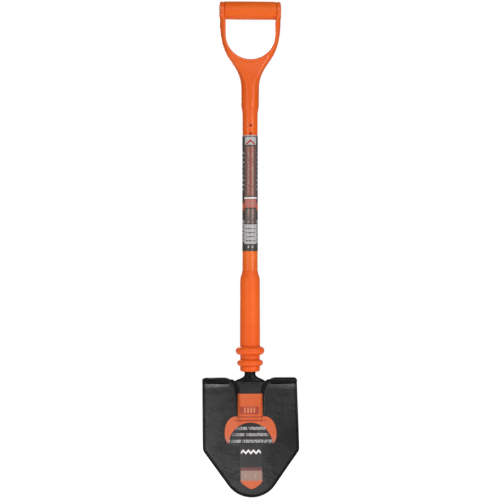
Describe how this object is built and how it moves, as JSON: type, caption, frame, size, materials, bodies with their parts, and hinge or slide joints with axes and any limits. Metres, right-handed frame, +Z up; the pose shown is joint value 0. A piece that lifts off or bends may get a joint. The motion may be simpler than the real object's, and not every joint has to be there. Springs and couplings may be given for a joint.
{
  "type": "digging shovel",
  "caption": "Round-point digging shovel with a D handle, a plastic-clad insulated shaft with a flanged hand guard, and a dished steel blade with foot treads.",
  "frame": {"origin": "centre of the cross grip, on the shaft's axis", "axes": "+Z up along the shaft away from the blade, -Y towards the blade's hollow front, +X to the right seen from the front"},
  "size_m": [0.2026, 0.08, 1.0372],
  "materials": {
    "orange_moulding": "satin",
    "orange_grip": "satin",
    "orange_cladding": "satin",
    "orange_sleeve": "satin",
    "dark_orange_plug": "satin",
    "fibre_rod": "ground",
    "printed_wrap": "laminated print",
    "printed_sticker": "laminated print",
    "seal_rubber": "matt",
    "black_forging": "satin black",
    "black_blade": "satin black",
    "rivet_steel": "plain"
  },
  "bodies": {
    "root": {"hilt": "orange_moulding", "grip_tube": "orange_grip", "grip_core": "fibre_rod", "grip_cap_left": "dark_orange_plug", "grip_cap_right": "dark_orange_plug", "hilt_pin_upper": "dark_orange_plug", "hilt_pin_lower": "dark_orange_plug", "core_rod": "fibre_rod", "shaft_tube": "orange_cladding", "shaft_label": "printed_wrap", "lower_sleeve": "orange_sleeve", "hand_guard": "orange_sleeve", "neck_seal": "seal_rubber", "socket": "black_forging", "socket_rivet_upper": "rivet_steel", "socket_rivet_lower": "rivet_steel", "blade": "black_blade", "tread_left": "black_forging", "tread_right": "black_forging", "tread_weld_left": "black_forging", "tread_weld_right": "black_forging", "blade_label": "printed_sticker"}
  },
  "joints": []
}
